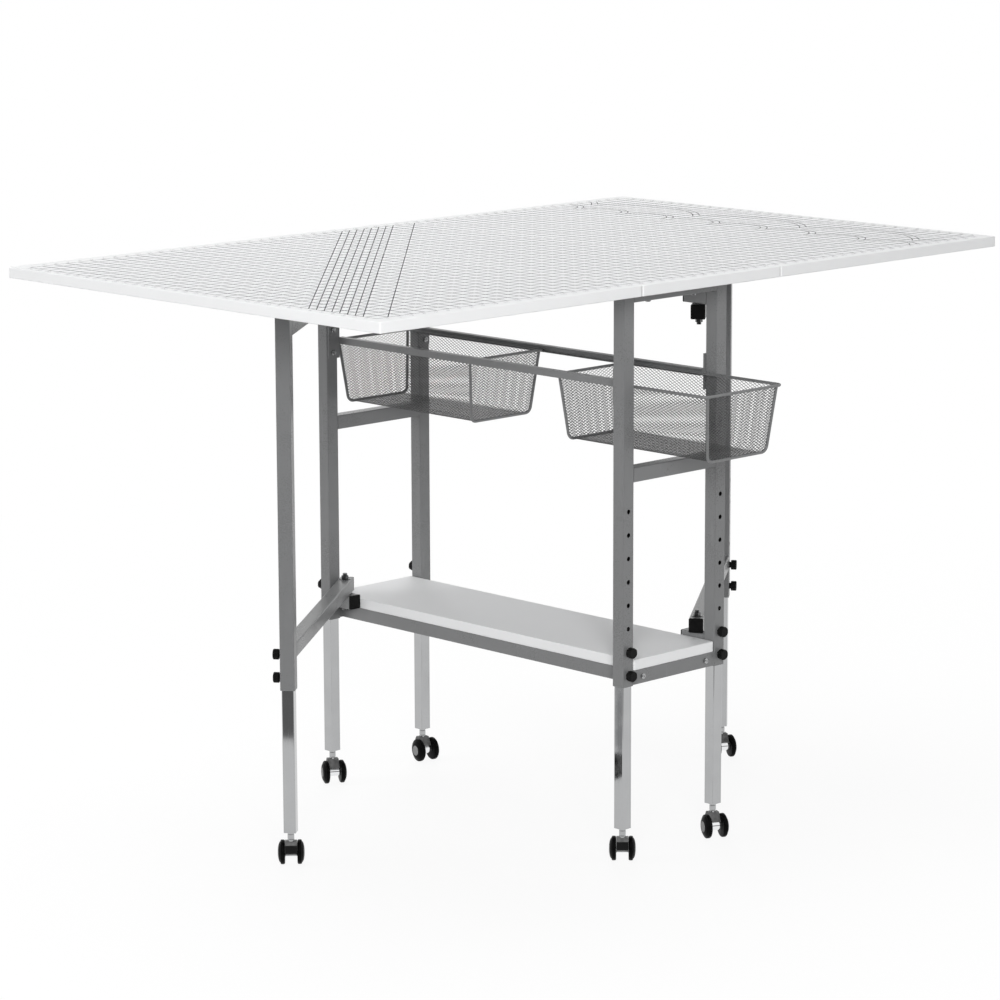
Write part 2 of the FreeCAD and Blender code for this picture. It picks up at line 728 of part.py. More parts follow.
# Pivot stubs: on the far left leg and the near right leg, so that the gates open to both sides
stubs = []
stub_caps = []
pivots = []
bolt_hole = pivot_bolt_diameter + 2 * fit_clearance
for side_name, side in SIDES:
    inward = side
    for height, head_low in ((lower_stub_height, True), (upper_stub_height, False)):
        start_y = -side * leg_inner_y
        start = V(side * leg_x, min(start_y, start_y + inward * stub_length), height + half_tube)
        stub = laid(frame_tube(stub_length), start, "y")
        drill = V(side * leg_x, -side * pivot_y, height - overrun)
        stubs.append(stub.cut(rod(bolt_hole, drill, drill + V(0, 0, tube_size + 2 * overrun))))
        cap = plastic_cap()
        cap_turn = FreeCAD.Rotation(V(1, 0, 0), -RIGHT_TURN * inward)
        cap_spot = V(side * leg_x, start_y + inward * stub_length, height + half_tube)
        cap.Placement = FreeCAD.Placement(cap_spot, cap_turn)
        stub_caps.append(cap)
        seat = V(side * leg_x, -side * pivot_y, height if head_low else height + tube_size)
        pivots += pivot_set(seat, 1 if head_low else -1)
save("pivot_stubs", *stubs)
save("stub_caps", *stub_caps)
save("pivot_bolts", *pivots)

# Gates with their inner legs
caster_spots = []
for side_name, side in SIDES:
    angle = RIGHT_TURN * side - gate_open_angle
    pivot = V(side * leg_x, -side * pivot_y, 0)
    leg, arms, caps, knobs = gate(angle, pivot)
    save(side_name + "_gate_leg", leg)
    save(side_name + "_gate_lower_arm", arms[0])
    save(side_name + "_gate_upper_arm", arms[1])
    save(side_name + "_gate_caps", *caps)
    save(side_name + "_gate_knobs", *knobs)
    reach = V(math.cos(math.radians(angle)), math.sin(math.radians(angle)), 0)
    spot = pivot + reach * gate_reach
    inner = inner_leg(GATE_KNOB_SIDE)
    inner.Placement = FreeCAD.Placement(spot, FreeCAD.Rotation(V(0, 0, 1), angle)).multiply(inner.Placement)
    save(side_name + "_gate_inner_leg", inner)
    caster_spots.append((side_name + "_gate", spot))

# Casters: each trails its own way, as they stand after the table was last rolled
caster_angles = {
    "near_left": 44,
    "near_right": 243,
    "far_left": 240,
    "far_right": 257,
    "left_gate": 48,
    "right_gate": 243,
}
for end, end_sign in ENDS:
    for side_name, side in SIDES:
        caster_spots.append((end + "_" + side_name, V(side * leg_x, end_sign * leg_y, 0)))
for name, spot in caster_spots:
    stand = FreeCAD.Placement(spot, FreeCAD.Rotation(V(0, 0, 1), caster_angles[name]))
    pieces = [caster_hood(), wheel(-1), wheel(1)]
    for shape in pieces:
        shape.Placement = stand.multiply(shape.Placement)
    save(name + "_caster_hood", pieces[0])
    save(name + "_caster_wheels", *pieces[1:])

# Baskets: the near one stands pulled out, the far one pushed in
for name, middle in (("near", near_basket_y), ("far", far_basket_y)):
    panels, frame = basket(middle)
    save(name + "_basket_mesh", *panels)
    save(name + "_basket_frame", frame)
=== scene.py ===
import json
import math

import bmesh
import bpy
from mathutils import Matrix, Vector


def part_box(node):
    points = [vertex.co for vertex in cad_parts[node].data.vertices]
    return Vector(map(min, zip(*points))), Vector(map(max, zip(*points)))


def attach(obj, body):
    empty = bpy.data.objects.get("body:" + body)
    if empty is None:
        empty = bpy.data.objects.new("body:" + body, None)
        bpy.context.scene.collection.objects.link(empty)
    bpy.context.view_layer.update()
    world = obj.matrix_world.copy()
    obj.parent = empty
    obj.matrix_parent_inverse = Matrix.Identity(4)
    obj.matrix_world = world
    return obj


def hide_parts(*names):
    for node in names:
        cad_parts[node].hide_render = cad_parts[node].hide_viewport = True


# The looks of a folding cutting table: its printed top, painted and plated steel, fine basket
# mesh, wheels, screws and welds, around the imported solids. Lengths are in metres.

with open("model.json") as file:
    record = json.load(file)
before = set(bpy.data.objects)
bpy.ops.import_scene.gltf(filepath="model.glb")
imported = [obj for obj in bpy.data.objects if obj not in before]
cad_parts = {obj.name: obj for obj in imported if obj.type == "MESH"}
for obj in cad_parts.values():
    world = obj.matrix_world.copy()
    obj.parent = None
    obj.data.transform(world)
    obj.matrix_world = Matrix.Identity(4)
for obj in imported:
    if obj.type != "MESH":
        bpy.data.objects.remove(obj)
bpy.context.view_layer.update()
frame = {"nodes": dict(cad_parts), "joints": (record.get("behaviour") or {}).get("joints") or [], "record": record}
nodes = frame["nodes"]
joints = {joint["name"]: joint for joint in frame["joints"]}
scene = bpy.context.scene

MM = 0.001
INCH = 0.0254
SPOTS = ("near_left", "near_right", "far_left", "far_right", "left_gate", "right_gate")

# The top: its middle, the seams beside the centre panel, and the printed inch grid
panel_low, panel_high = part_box("centre_panel")
TOP = panel_high.z
MID_Y = (panel_low.y + panel_high.y) / 2
leaf_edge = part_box("right_leaf")[0].x
SEAM_X = (panel_high.x + leaf_edge) / 2
SEAM_GAP = leaf_edge - panel_high.x
COLUMNS, ROWS = 57, 34
GRID_X, GRID_Y = COLUMNS / 2 * INCH, ROWS / 2 * INCH

# The legs: the middles, tube and bore of those of the base, and where the plated legs come out
leg_low, leg_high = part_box("far_right_leg")
LEG_X = (leg_low.x + leg_high.x) / 2
LEG_Y = (leg_low.y + leg_high.y) / 2 - MID_Y
TUBE = leg_high.x - leg_low.x
BORE = TUBE - 1.8 * MM
SLEEVE_END = max(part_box(name)[0].z for name in ("near_left_leg", "left_gate_leg")) + 6 * MM


class Value:
    """One value on its way through a node tree. Operators between values add Math nodes."""

    def __init__(self, graph, socket):
        self.graph = graph
        self.socket = socket

    def math(self, operation, first, second=0.0):
        return self.graph.node("ShaderNodeMath", {"operation": operation}, {0: first, 1: second})

    def __add__(self, other):
        return self.math("ADD", self, other)

    def __sub__(self, other):
        return self.math("SUBTRACT", self, other)

    def __rsub__(self, other):
        return self.math("SUBTRACT", other, self)

    def __mul__(self, other):
        return self.math("MULTIPLY", self, other)

    def __rmul__(self, other):
        return self.math("MULTIPLY", other, self)

    def __truediv__(self, other):
        return self.math("DIVIDE", self, other)

    def __lt__(self, other):
        return self.math("LESS_THAN", self, other)

    def __gt__(self, other):
        return self.math("GREATER_THAN", self, other)

    def __abs__(self):
        return self.math("ABSOLUTE", self)

    def __or__(self, other):
        return self.math("MAXIMUM", self, other)

    def __and__(self, other):
        return self.math("MINIMUM", self, other)

    def root(self):
        return self.math("SQRT", self)

    def fraction(self):
        return self.math("FRACT", self)


class Graph:
    """A node tree under construction."""

    def __init__(self, tree):
        self.tree = tree

    def node(self, kind, settings=None, sockets=None, output=0):
        """Adds a node: its settings come first, then the values or links of its sockets."""
        made = self.tree.nodes.new(kind)
        for name, value in (settings or {}).items():
            setattr(made, name, value)
        for key, value in (sockets or {}).items():
            if isinstance(value, Value):
                self.tree.links.new(value.socket, made.inputs[key])
            else:
                made.inputs[key].default_value = value
        return Value(self, made.outputs[output]) if made.outputs else None

    def split(self, vector):
        """The three parts of a vector."""
        parts = self.node("ShaderNodeSeparateXYZ", None, {0: vector})
        return [Value(self, socket) for socket in parts.socket.node.outputs]

    def joined(self, x, y, z):
        return self.node("ShaderNodeCombineXYZ", None, {0: x, 1: y, 2: z})

    def mixed(self, share, first, second):
        """A colour between two others."""
        sockets = {0: share, 6: first, 7: second}
        return self.node("ShaderNodeMix", {"data_type": "RGBA"}, sockets, 2)


class Finish(Graph):
    """A material: its nodes, and the shader that they feed."""

    def __init__(self, name, fixed):
        self.material = bpy.data.materials.new(name)
        self.material.use_nodes = True
        super().__init__(self.material.node_tree)
        self.tree.nodes.clear()
        self.shader = self.node("ShaderNodeBsdfPrincipled", None, fixed)
        self.node("ShaderNodeOutputMaterial", None, {"Surface": self.shader})
        self.place = self.node("ShaderNodeTexCoord", None, None, "Object")

    def noise(self, scale, detail=2.0, stretch=(1.0, 1.0, 1.0)):
        """A noise over the object's own place, with an average of a half."""
        place = self.node("ShaderNodeMapping", None, {"Vector": self.place, "Scale": stretch})
        return self.node("ShaderNodeTexNoise", None, {"Vector": place, "Scale": scale, "Detail": detail})

    def range(self, value, low, high, to_low, to_high):
        """A value moved from one range to another, and held inside it."""
        sockets = {"Value": value, "From Min": low, "From Max": high, "To Min": to_low, "To Max": to_high}
        return self.node("ShaderNodeMapRange", None, sockets)

    def mark(self, name):
        """A mark on the points of a mesh."""
        return self.node("ShaderNodeAttribute", {"attribute_name": name}, None, "Fac")

    def feed(self, socket, value):
        self.tree.links.new(value.socket, self.shader.socket.node.inputs[socket])

    def bump(self, height, distance):
        self.feed("Normal", self.node("ShaderNodeBump", None, {"Distance": distance, "Height": height}))


def grey(value, tint=0.0):
    """A grey, a little cooler where tint is above zero."""
    return (value * (1 - tint), value, value * (1 + tint), 1.0)


# Finishes


def rule(across, width):
    """A line where a length is near zero."""
    return abs(across) < width / 2


def ruled(along, pitch, width):
    """Lines at whole multiples of a pitch."""
    return abs((along / pitch + 0.5).fraction() - 0.5) < width / (2 * pitch)


def scallops(x, y, middle, pitch, radius, width):
    """A row of arcs that bulge outwards, with a second line inside each. One has the middle given."""
    between = 12 * MM
    out = x - middle[0]
    along = ((y - middle[1]) / pitch + 0.5).fraction() * pitch - pitch / 2
    distance = (out * out + along * along).root()
    double = rule(distance - radius, width) | rule(distance - (radius - between), width)
    return double * (out > 0.0)


def guides(finish, white):
    """The white of the top, with painted shade greying the facing edges in its seams, and with its printed
    guides: the inch grid, the bias lines and two rows of scallops."""
    x, y, z = finish.split(finish.place)
    y = y - MID_Y
    seam_shade_reach = SEAM_GAP * 0.6
    # Painted shade: the board faces inside the seams are greyed where shade falls in the gap.
    white = finish.mixed(abs(abs(x) - SEAM_X) < seam_shade_reach, white, grey(0.6))
    margin, depth = 0.6 * MM, 0.15 * MM
    inside = (abs(x) < GRID_X + margin) * (abs(y) < GRID_Y + margin) * (z > TOP - depth)
    grid_line, guide_line = 2.5 * MM, 1.8 * MM
    grid = ruled(x + INCH / 2, INCH, grid_line) | ruled(y, INCH, grid_line)
    # One long bias line at 45 degrees, and eight more at half-inch steps beside it
    from_middle = 190.2 * MM
    bias = (y - x) * math.sqrt(0.5) - from_middle
    beside = (bias > 1.25 * INCH) * (bias < 5.25 * INCH)
    lines = rule(bias, guide_line) | (ruled(bias, INCH / 2, guide_line) * beside)
    wide_middle, narrow_middle = (495 * MM, 1.5 * MM), (518 * MM, 81.5 * MM)
    wide = scallops(x, y, wide_middle, pitch=265 * MM, radius=178 * MM, width=guide_line)
    narrow = scallops(x, y, narrow_middle, pitch=117 * MM, radius=64 * MM, width=guide_line)
    narrow_from = 522 * MM
    lines = lines | wide | narrow * (x > narrow_from)
    wear = finish.range(finish.noise(45.0, 4.0), 0.35, 0.65, 0.8, 1.0)
    grid_ink, line_ink = (0.05, 0.042, 0.062, 1), (0.012, 0.012, 0.016, 1)
    inked = finish.mixed(grid * inside * wear, white, grid_ink)
    return finish.mixed(lines * inside * wear, inked, line_ink)


def laminate(name, gloss, printed):
    """White laminate with a fine pebble. The boards of the top carry the printed guides."""
    finish = Finish(name, {"Specular IOR Level": gloss})
    haze = finish.noise(6.0, 3.0)
    pebble = finish.noise(1400.0, 2.0)
    white = finish.mixed(haze, (0.80, 0.805, 0.81, 1), (0.835, 0.84, 0.845, 1))
    finish.feed("Base Color", guides(finish, white) if printed else white)
    finish.feed("Roughness", finish.range(pebble + haze, 0.6, 1.4, 0.56, 0.72))
    finish.bump(pebble, 0.02 * MM)
    return finish.material


def powder_coat(name, base, scuffs):
    """Baked paint on steel: a soft orange peel, and faint scuffs along the piece. The bores of the
    four base legs, which show in their height holes, are painted near-black as painted shade."""
    finish = Finish(name, {"IOR": 1.5})
    peel = finish.noise(520.0, 2.0)
    cloud = finish.noise(14.0, 3.0)
    scuff = finish.range(finish.noise(70.0, 5.0, (1.0, 1.0, 0.12)), 0.66, 0.74, 0.0, scuffs)
    paint = finish.mixed(cloud, grey(base * 0.93, 0.012), grey(base * 1.07, 0.012))
    paint = finish.mixed(scuff, paint, grey(base * 1.6))
    x, y = finish.split(finish.place)[:2]
    # Painted shade: inside the base legs' bores the paint is near-black, so the holes read as shade.
    bore_shade = (abs(abs(x) - LEG_X) < BORE / 2) * (abs(abs(y - MID_Y) - LEG_Y) < BORE / 2)
    finish.feed("Base Color", finish.mixed(bore_shade, paint, grey(0.004)))
    finish.feed("Roughness", finish.range(peel + cloud, 0.6, 1.4, 0.24, 0.36) + scuff * 0.1)
    finish.bump(peel, 0.03 * MM)
    return finish.material


def plated(name, base, smooth, stretch=(1.0, 1.0, 1.0), painted_shade_from=None):
    """Bright plate with drawing lines along the metal and faint finger marks. Above a height, where
    a leg slides inside another, the steel is painted near-black as painted shade."""
    finish = Finish(name, {"Metallic": 1.0})
    lines = finish.noise(900.0, 3.0, stretch)
    marks = finish.noise(26.0, 4.0)
    plate = finish.mixed(marks, grey(base * 0.92, 0.01), grey(base * 1.06, 0.01))
    # Painted shade: above this height, inside the outer leg, the plate is painted near-black.
    if painted_shade_from:
        plate = finish.mixed(finish.split(finish.place)[2] > painted_shade_from, plate, grey(0.02))
    finish.feed("Base Color", plate)
    finish.feed("Roughness", finish.range(lines + marks, 0.7, 1.3, smooth, smooth + 0.07))
    finish.bump(lines, 0.004 * MM)
    return finish.material


def moulded(name, base, rough):
    """Black moulded plastic with a fine spark texture and a little dust."""
    finish = Finish(name, {"Specular IOR Level": 0.1})
    spark = finish.noise(1800.0, 1.0)
    dust = finish.range(finish.noise(60.0, 5.0), 0.5, 0.8, 0.0, 0.35)
    finish.feed("Base Color", finish.mixed(dust, grey(base), grey(base * 2.6)))
    finish.feed("Roughness", finish.range(spark, 0.3, 0.7, rough, rough + 0.12) + dust * 0.2)
    finish.bump(spark, 0.02 * MM)
    return finish.material


def yoke_finish():
    """Caster yoke: a black front, a grey hood that is a painted highlight on the black plastic, and bright plate
    on the collar and the barrel.
    """
    finish = Finish("caster_yoke_plate", {"Specular IOR Level": 0.15})
    plate = finish.mark("plate")
    scuff = finish.noise(140.0, 4.0)
    # Painted highlight: the hood, all but its front, is grey on the black plastic.
    hood_with_painted_highlight = finish.mixed(plate / HOOD_HIGHLIGHT_MARK & 1.0, grey(0.004), finish.mixed(scuff, grey(0.03), grey(0.2)))
    bright = finish.range(plate, HOOD_HIGHLIGHT_MARK, 1.0, 0.0, 1.0)
    finish.feed("Base Color", finish.mixed(bright, hood_with_painted_highlight, grey(0.86, 0.01)))
    finish.feed("Metallic", finish.range(plate, HOOD_HIGHLIGHT_MARK, COLLAR_MARK, 0.0, 1.0))
    finish.feed("Roughness", finish.range(bright + scuff * 0.1, 0.0, 0.5, 0.42, 0.07))
    finish.bump(scuff, 0.01 * MM)
    return finish.material


def wheel_finish():
    """Black wheel with a satin grey cap over the end of the axle."""
    finish = Finish("wheel_moulding", {"Specular IOR Level": 0.05})
    scuff = finish.range(finish.noise(90.0, 4.0), 0.45, 0.75, 0.0, 0.5)
    rubber = finish.mixed(scuff, grey(0.002), grey(0.007))
    finish.feed("Base Color", finish.mixed(finish.mark("cap"), rubber, grey(0.3)))
    finish.feed("Roughness", finish.range(finish.noise(700.0), 0.3, 0.7, 0.26, 0.4) + scuff * 0.2)
    finish.bump(finish.noise(1600.0, 1.0), 0.015 * MM)
    return finish.material


def printed_ink():
    """Ink of the figures round the grid, thin in places."""
    finish = Finish("printed_ink", {"Roughness": 0.55})
    thin = finish.range(finish.noise(400.0, 3.0), 0.45, 0.75, 0.0, 0.4)
    finish.feed("Base Color", finish.mixed(thin, (0.06, 0.055, 0.075, 1), (0.3, 0.29, 0.33, 1)))
    return finish.material


# Marks on the points of a caster yoke that its finish reads
# The hood's mark carries a painted highlight: grey on the black plastic.
HOOD_HIGHLIGHT_MARK, COLLAR_MARK, BARREL_MARK = 0.3, 0.6, 1.0
finishes = {
    "printed_board": laminate("printed_laminate", gloss=0.04, printed=True),
    "plain_board": laminate("white_laminate", gloss=0.4, printed=False),
    "painted_steel": powder_coat("grey_powder_coat", base=0.182, scuffs=0.25),
    "chromed_steel": plated(
        # The plated legs are painted near-black as shade where they sit inside the outer legs.
        "bright_plate", base=0.45, smooth=0.025, stretch=(1.0, 1.0, 0.012), painted_shade_from=SLEEVE_END
    ),
    "black_plastic": moulded("black_moulding", base=0.005, rough=0.42),
    "caster_plastic": yoke_finish(),
    "wheel_plastic": wheel_finish(),
    "zinc_fasteners": plated("zinc_plate", base=0.4, smooth=0.16),
    "dark_bolts": plated("dark_zinc_plate", base=0.13, smooth=0.2),
    "hinge_steel": plated("hinge_plate", base=0.5, smooth=0.28, stretch=(0.1, 1.0, 1.0)),
    "basket_wire": powder_coat("silver_wire_coat", base=0.17, scuffs=0.1),
    # Painted shade: the mesh has the wire's silver paint, made darker for the shade it sits in.
    "basket_mesh": powder_coat("silver_mesh_coat", base=0.06, scuffs=0.1),
    "ink": printed_ink(),
}
slots = {part["node"]: part["material_slot"] for part in frame["record"]["subparts"]}
for name, node in nodes.items():
    slot = slots[name]
    if slot == "laminate_board":
        slot = "plain_board" if name == "shelf_board" else "printed_board"
    if name == "pivot_bolts":
        slot = "dark_bolts"
    node.data.materials.clear()
    node.data.materials.append(finishes[slot])


# Making pieces


def linked(name, data):
    """An object in the scene."""
    made = bpy.data.objects.new(name, data)
    scene.collection.objects.link(made)
    return made


def piece(mesh, body, finish, replaced=()):
    """Puts a mesh into the scene as a piece that rides on a body."""
    made = linked(mesh.name, mesh)
    mesh.materials.clear()
    mesh.materials.append(finishes[finish])
    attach(made, body)
    if replaced:
        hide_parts(*replaced)


def meshed(form, name):
    """A form as a mesh. The form is used up."""
    mesh = bpy.data.meshes.new(name)
    form.to_mesh(mesh)
    form.free()
    return mesh


def gathered(meshes, name):
    """Several meshes as one."""
    form = bmesh.new()
    for mesh in meshes:
        form.from_mesh(mesh)
    return meshed(form, name)


def settled(holder):
    """The shape of an object, after its modifiers, as a plain mesh. The object is used up."""
    ready = holder.evaluated_get(bpy.context.evaluated_depsgraph_get())
    mesh = bpy.data.meshes.new_from_object(ready)
    bpy.data.objects.remove(holder)
    return mesh


def marked(mesh, name, mark):
    """Gives each point of a mesh a mark, for its finish to read."""
    marks = mesh.attributes.new(name, "FLOAT", "POINT")
    marks.data.foreach_set("value", [float(mark(vert.co)) for vert in mesh.vertices])
    return mesh


def shaded(mesh):
    """Smooth faces, with the sharp edges kept."""
    sharp_from = math.radians(38)
    mesh.polygons.foreach_set("use_smooth", [True] * len(mesh.polygons))
    mesh.set_sharp_from_angle(angle=sharp_from)


class Recipe(Graph):
    """A Geometry Nodes tree with named inputs, that makes a plain mesh out of another."""

    def __init__(self, name):
        super().__init__(bpy.data.node_groups.new(name, "GeometryNodeTree"))
        self.tree.interface.new_socket("Geometry", in_out="INPUT", socket_type="NodeSocketGeometry")
        self.tree.interface.new_socket("Geometry", in_out="OUTPUT", socket_type="NodeSocketGeometry")
        self.group_input = self.tree.nodes.new("NodeGroupInput")
        self.identifiers = {}

    def input(self, name, kind):
        """A named input of the tree."""
        socket = self.tree.interface.new_socket(name, in_out="INPUT", socket_type="NodeSocket" + kind)
        self.identifiers[name] = socket.identifier
        return Value(self, self.group_input.outputs[name])

    def moved(self, geometry, position):
        """The geometry with its points in new places."""
        sockets = {"Geometry": geometry, "Position": position}
        return self.node("GeometryNodeSetPosition", None, sockets)

    def place(self):
        """The place of each point on the panel, across it and along it."""
        return self.split(self.node("GeometryNodeInputPosition"))[:2]

    def end(self, geometry, material):
        """Ends the tree: real geometry with its finish."""
        real = self.node("GeometryNodeRealizeInstances", None, {0: geometry})
        painted = self.node("GeometryNodeSetMaterial", None, {"Geometry": real, "Material": material})
        self.node("NodeGroupOutput", None, {0: painted})

    def make(self, mesh, values):
        """Runs the tree on a mesh, and returns the result as a plain mesh."""
        holder = linked("holder", mesh)
        modifier = holder.modifiers.new("recipe", "NODES")
        modifier.node_group = self.tree
        for name, value in values.items():
            modifier[self.identifiers[name]] = value
        return settled(holder)


# Fine mesh of the baskets: a lattice of diamonds, laid along the section of each panel


def lattice_recipe():
    """A flat lattice of diamonds, trimmed to a panel, bent along its section, and made of flat strands."""
    recipe = Recipe("diamond_mesh")
    profile = recipe.input("Section", "Object")
    across = recipe.input("Across", "Vector")
    width = recipe.input("Width", "Float")
    rim_width = recipe.input("Width At Rim", "Float")
    floor_z = recipe.input("Floor Height", "Float")
    rim_z = recipe.input("Rim Height", "Float")
    run = recipe.input("Run", "Float")
    nip = recipe.input("Corner Cut", "Float")
    cell_width = recipe.input("Cell Width", "Float")
    cell_height = recipe.input("Cell Height", "Float")
    strand = recipe.input("Strand", "Float")
    gauge = recipe.input("Gauge", "Float")
    count = recipe.input("Count", "Int")
    material = recipe.input("Material", "Material")
    # A square grid, turned and stretched to diamonds
    size = {"Size X": count - 1, "Size Y": count - 1, "Vertices X": count, "Vertices Y": count}
    lattice = recipe.node("GeometryNodeMeshGrid", None, size)
    x, y = recipe.place()
    diamond = recipe.joined((x - y) * cell_width / 2, (x + y) * cell_height / 2 + run / 2, 0.0)
    lattice = recipe.moved(lattice, diamond)
    # Without the points that lie more than part of a cell outside the panel
    x, y = recipe.place()
    spare = 0.6
    beside = abs(x) > rim_width / 2 + cell_width * spare
    beyond = abs(y - run / 2) > run / 2 + cell_height * spare
    selection = {"Geometry": lattice, "Selection": beside | beyond}
    lattice = recipe.node("GeometryNodeDeleteGeometry", None, selection)
    # Along the section, and held between the panel's sides
    x, y = recipe.place()
    length = (y | 0.0) & run
    curve = recipe.node("GeometryNodeObjectInfo", None, {"Object": profile}, "Geometry")
    settings = {"mode": "LENGTH", "use_all_curves": True}
    sockets = {"Curves": curve, "Length": length}
    sampled = recipe.node("GeometryNodeSampleCurve", settings, sockets, "Position")
    rise = (recipe.split(sampled)[2] - floor_z) / (rim_z - floor_z)
    half = (width + (rim_width - width) * rise) / 2
    limit = half + ((length - nip) & 0.0)
    offset = (x & limit) | (0.0 - limit)
    reach = recipe.node("ShaderNodeVectorMath", {"operation": "SCALE"}, {0: across, "Scale": offset})
    spot = recipe.node("ShaderNodeVectorMath", {"operation": "ADD"}, {0: sampled, 1: reach})
    strands = recipe.node("GeometryNodeMeshToCurve", None, {0: recipe.moved(lattice, spot)})
    strands = recipe.node("GeometryNodeSetCurveNormal", {"mode": "Z_UP"}, {"Curve": strands})
    sides = {"Width": strand, "Height": gauge}
    section = recipe.node("GeometryNodeCurvePrimitiveQuadrilateral", None, sides)
    solid = recipe.node("GeometryNodeCurveToMesh", None, {"Curve": strands, "Profile Curve": section})
    recipe.end(solid, material)
    return recipe


def section_line(points):
    """A curve object of straight runs."""
    curve = bpy.data.curves.new("section", "CURVE")
    curve.dimensions = "3D"
    spline = curve.splines.new("POLY")
    spline.points.add(len(points) - 1)
    for spot, point in zip(spline.points, points):
        spot.co = (*point, 1.0)
    return linked("section", curve)


def rounded(corner, before, after, radius, steps=6):
    """Points of an arc that replaces a corner between two runs."""
    back, on = (before - corner).normalized(), (after - corner).normalized()
    half_angle = back.angle(on) / 2
    start = corner + back * (radius / math.tan(half_angle))
    end = corner + on * (radius / math.tan(half_angle))
    middle = corner + (back + on).normalized() * (radius / math.sin(half_angle))
    first, last = (start - middle).normalized(), (end - middle).normalized()
    return [middle + first.slerp(last, i / steps) * radius for i in range(steps + 1)]


def run_of(points):
    """The length of a line of points."""
    return sum((b - a).length for a, b in zip(points, points[1:]))


def basket_meshes():
    """Each basket's mesh: a bent trough of two long sides and the floor, and two end panels."""
    recipe = lattice_recipe()
    wire = 5.0 * MM
    rim_inset_x, rim_inset_y = 9.0 * MM, 4.0 * MM
    slope_x, slope_y = 13.0 * MM, 11.0 * MM
    bend, corner_cut = 12.0 * MM, 6.0 * MM
    cell_width, cell_height = 9.8 * MM, 5.0 * MM
    strand, gauge = 1.05 * MM, 0.4 * MM
    spare_cells = 6
    for name in ("near", "far"):
        low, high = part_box(name + "_basket_frame")
        middle = (low.y + high.y) / 2
        rim_z, floor_z = high.z - wire / 2, low.z + wire / 2
        top_x, top_y = high.x - wire / 2 - rim_inset_x, (high.y - low.y) / 2 - wire / 2 - rim_inset_y
        floor_x, floor_y = top_x - slope_x, top_y - slope_y
        corners = [
            Vector((-top_x, middle, rim_z)),
            Vector((-floor_x, middle, floor_z)),
            Vector((floor_x, middle, floor_z)),
            Vector((top_x, middle, rim_z)),
        ]
        trough = [corners[0]]
        trough += rounded(corners[1], corners[0], corners[2], bend)
        trough += rounded(corners[2], corners[1], corners[3], bend)
        trough += [corners[3]]
        panels = [(trough, (0.0, 1.0, 0.0), floor_y, top_y, 0.0)]
        for side in (-1, 1):
            foot = Vector((0, middle + side * floor_y, floor_z))
            head = Vector((0, middle + side * top_y, rim_z))
            panels.append(([foot, head], (1.0, 0.0, 0.0), floor_x, top_x, corner_cut))
        made = []
        for points, across, half, rim_half, nip in panels:
            line = section_line(points)
            run = run_of(points)
            values = {
                "Section": line,
                "Across": across,
                "Width": 2 * half,
                "Width At Rim": 2 * rim_half,
                "Floor Height": floor_z,
                "Rim Height": rim_z,
                "Run": run,
                "Corner Cut": nip,
                "Cell Width": cell_width,
                "Cell Height": cell_height,
                "Strand": strand,
                "Gauge": gauge,
                "Count": int(2 * rim_half / cell_width + run / cell_height) + spare_cells,
                "Material": finishes["basket_mesh"],
            }
            made.append(recipe.make(bpy.data.meshes.new("panel"), values))
            bpy.data.objects.remove(line)
        mesh = gathered(made, name + "_basket_fine_mesh")
        piece(mesh, name + "_basket", "basket_mesh", (name + "_basket_mesh",))


# Casters, made with the swivel on the Z axis and the wheels trailing along X

AXLE = Vector((11.0, 0.0, 21.0)) * MM


def caster_place(spot):
    """Where a caster stands, and the way that it trails."""
    pivot = Vector(joints[spot + "_swivel"]["pos_m"])
    axle = Vector(joints[spot + "_roll"]["axis"])
    turn = Matrix((axle.cross((0, 0, 1)), axle, (0, 0, 1))).transposed().to_4x4()
    return Matrix.Translation((pivot.x, pivot.y, 0.0)) @ turn


def turned(outline, segments):
    """A closed solid turned about the Y axis from points of distance along it and radius."""
    form = bmesh.new()
    line = [form.verts.new((radius * MM, along * MM, 0.0)) for along, radius in outline]
    edges = [form.edges.new(pair) for pair in zip(line, line[1:])]
    bmesh.ops.spin(
        form, geom=line + edges, axis=(0, 1, 0), cent=(0, 0, 0), steps=segments, angle=2 * math.pi
    )
    bmesh.ops.remove_doubles(form, verts=form.verts, dist=0.002 * MM)
    bmesh.ops.recalc_face_normals(form, faces=form.faces)
    return form


def rotated(form, angle, axis):
    """A form, turned about an axis through the origin."""
    turn = Matrix.Rotation(angle, 3, axis)
    bmesh.ops.rotate(form, verts=form.verts, cent=(0, 0, 0), matrix=turn)
    return form


def on_casters(shape, offset, ending, body, finish, replaced):
    """A shape at each caster, in place of a solid there. The names end as given."""
    for spot in SPOTS:
        mesh = shape.copy()
        mesh.name = spot + ending
        mesh.transform(caster_place(spot) @ offset)
        piece(mesh, spot + body, finish, (spot + replaced,))


def wheels():
    """Two crowned wheels on each axle, with a cap on each hub."""
    outline = [
        (10.5, 3.2), (10.5, 18.6), (10.9, 19.9), (11.8, 20.7), (13.2, 21.0), (16.2, 21.0), (17.2, 20.7),
        (17.9, 20.0), (18.2, 19.0), (18.0, 18.6), (18.4, 18.2), (19.4, 17.2), (20.6, 15.2), (21.4, 12.8),
        (21.9, 10.4), (22.0, 9.8), (21.6, 9.5), (22.1, 9.2), (22.55, 6.4), (22.75, 3.0), (22.8, 0.0),
    ]
    segments = 56
    cap_radius, cap_from = 9.3 * MM, 20 * MM
    forms = [turned(outline, segments), rotated(turned(outline, segments), math.pi, "Z")]
    pair = gathered([meshed(form, "wheel") for form in forms], "wheels")

    def capped(point):
        return math.hypot(point.x, point.z) < cap_radius and abs(point.y) > cap_from

    marked(pair, "cap", capped)
    shaded(pair)
    on_casters(
        pair, Matrix.Translation(AXLE), ending="_turned_wheels", body="_wheels",
        finish="wheel_plastic", replaced="_caster_wheels",
    )


